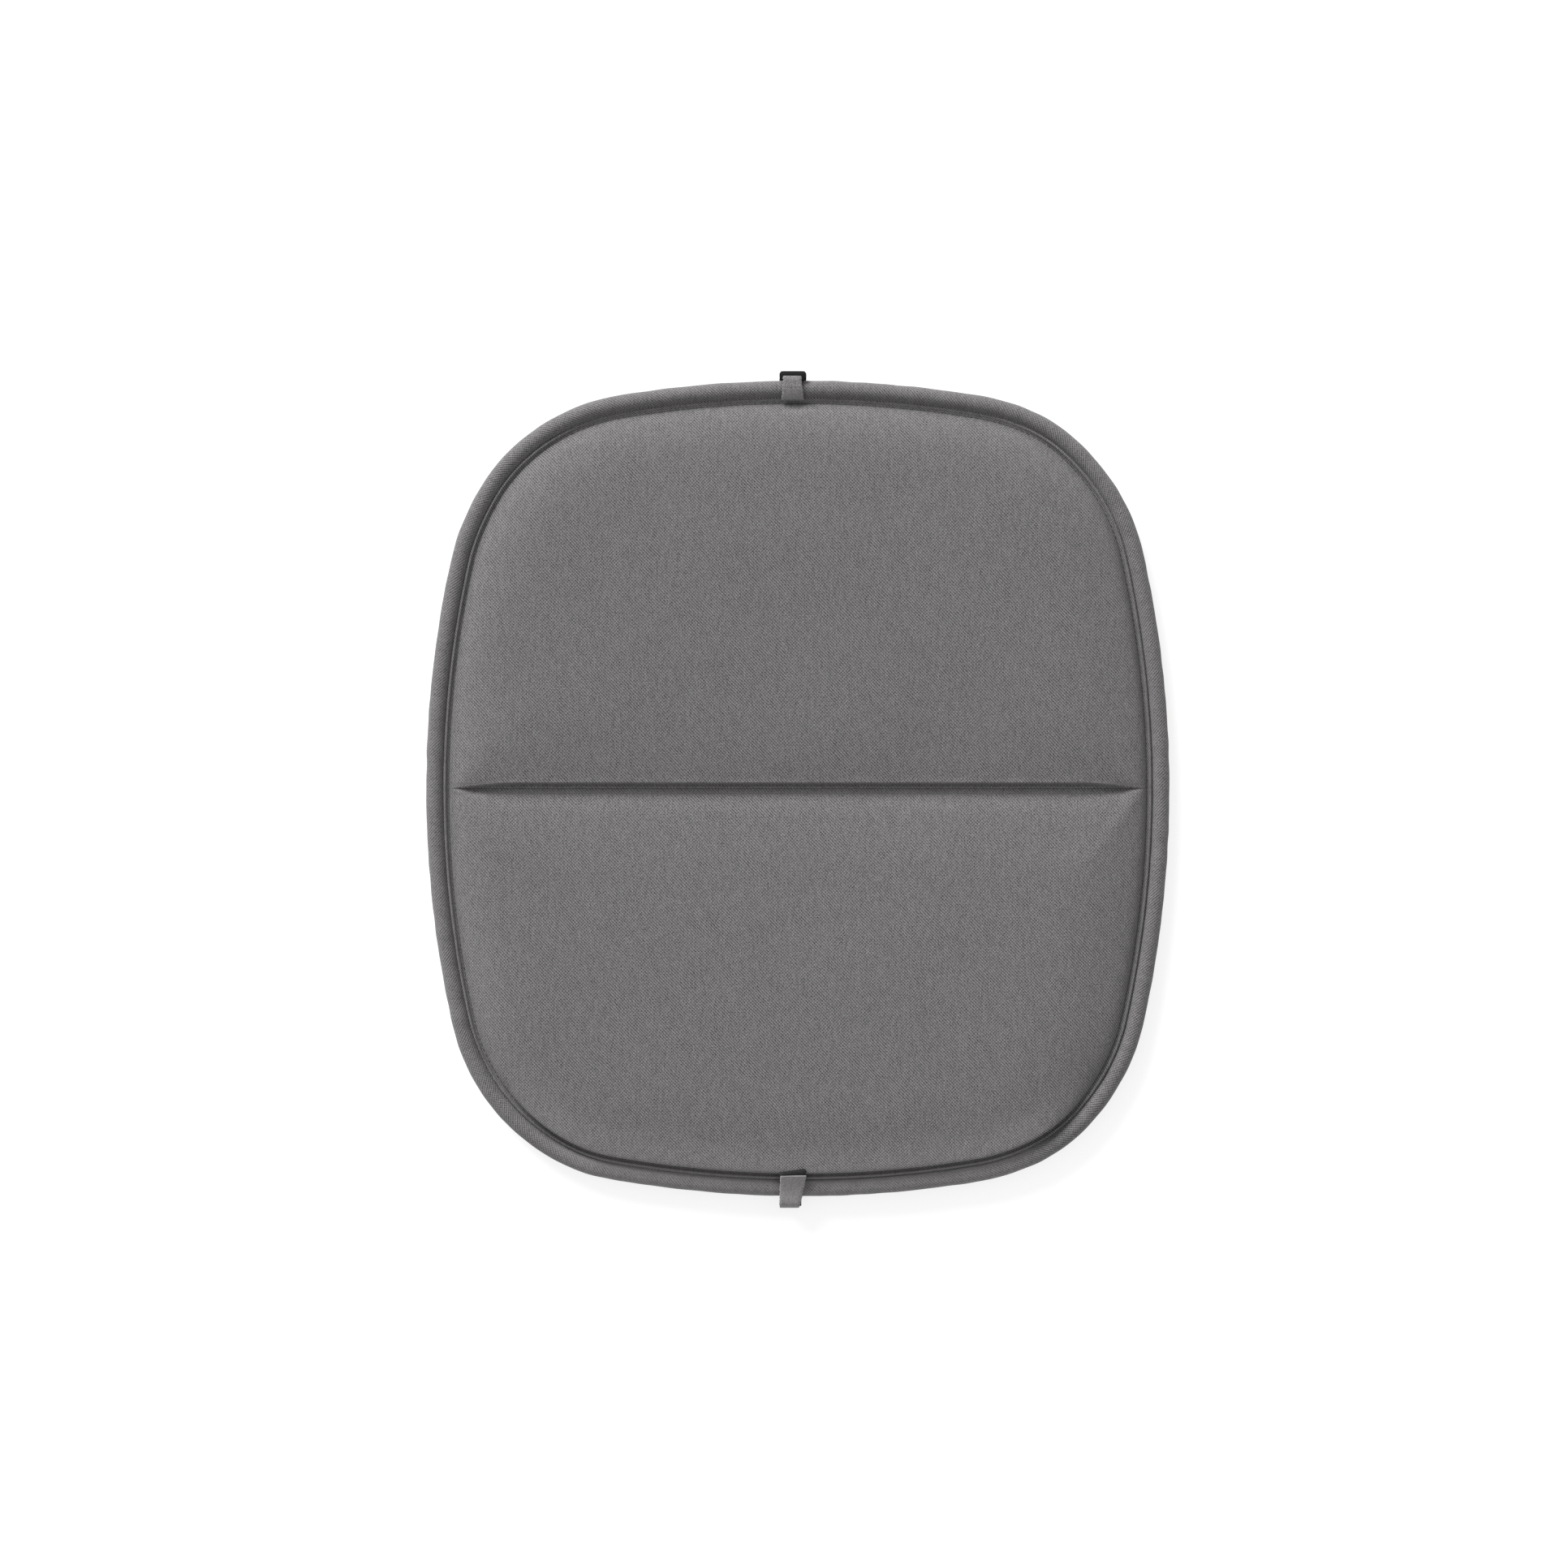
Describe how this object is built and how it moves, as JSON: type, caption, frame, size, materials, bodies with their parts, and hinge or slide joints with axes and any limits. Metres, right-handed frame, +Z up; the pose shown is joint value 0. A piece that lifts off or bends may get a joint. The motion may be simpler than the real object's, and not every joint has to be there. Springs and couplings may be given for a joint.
{
  "type": "chair seat pad",
  "caption": "Foam-filled seat pad with a piped edge, a sewn channel across its middle and hook-and-loop straps at its rear and front edges.",
  "frame": {"origin": "on the surface that the pad lies on, under the middle of its box", "axes": "+Z up out of the crowned face, +Y to the rear edge, +X to the right as seen from above with the rear edge away"},
  "size_m": [0.41, 0.4604, 0.021],
  "materials": {
    "cover_cloth": "matt woven melange",
    "piping_cloth": "matt woven melange",
    "tab_cloth": "matt woven",
    "wadding": "soft fibre",
    "foam": "open-cell foam",
    "cord": "twisted cotton",
    "thread": "polyester thread",
    "tape": "woven nylon with hooks",
    "loop_pile": "napped nylon loops"
  },
  "bodies": {
    "rear_half": {"top_cover_rear": "cover_cloth", "bottom_cover_rear": "cover_cloth", "wadding_rear": "wadding", "foam_core_rear": "foam", "piping_cover_rear": "piping_cloth", "piping_cord_rear": "cord", "edge_thread_rear": "thread", "channel_thread": "thread", "rear_strap_tape": "tape", "rear_strap_tab": "tab_cloth", "rear_loop_patch": "loop_pile", "rear_strap_thread": "thread"},
    "front_half": {"top_cover_front": "cover_cloth", "bottom_cover_front": "cover_cloth", "wadding_front": "wadding", "foam_core_front": "foam", "piping_cover_front": "piping_cloth", "piping_cord_front": "cord", "edge_thread_front": "thread", "front_strap_tape": "tape", "front_strap_tab": "tab_cloth", "front_loop_patch": "loop_pile", "front_strap_thread": "thread"},
    "rear_flap": {"rear_strap_flap": "tape"},
    "front_flap": {"front_strap_flap": "tape"}
  },
  "joints": [
    {"name": "fold", "type": "hinge", "parent": "rear_half", "child": "front_half", "pos_m": [0, 0, 0.009], "axis": [1, 0, 0], "range_deg": [0, 120]},
    {"name": "rear_strap_open", "type": "hinge", "parent": "rear_half", "child": "rear_flap", "pos_m": [0, 0.2303, 0.0023], "axis": [1, 0, 0], "range_deg": [0, 175]},
    {"name": "front_strap_open", "type": "hinge", "parent": "front_half", "child": "front_flap", "pos_m": [0, -0.2303, 0.0023], "axis": [-1, 0, 0], "range_deg": [0, 175]}
  ]
}
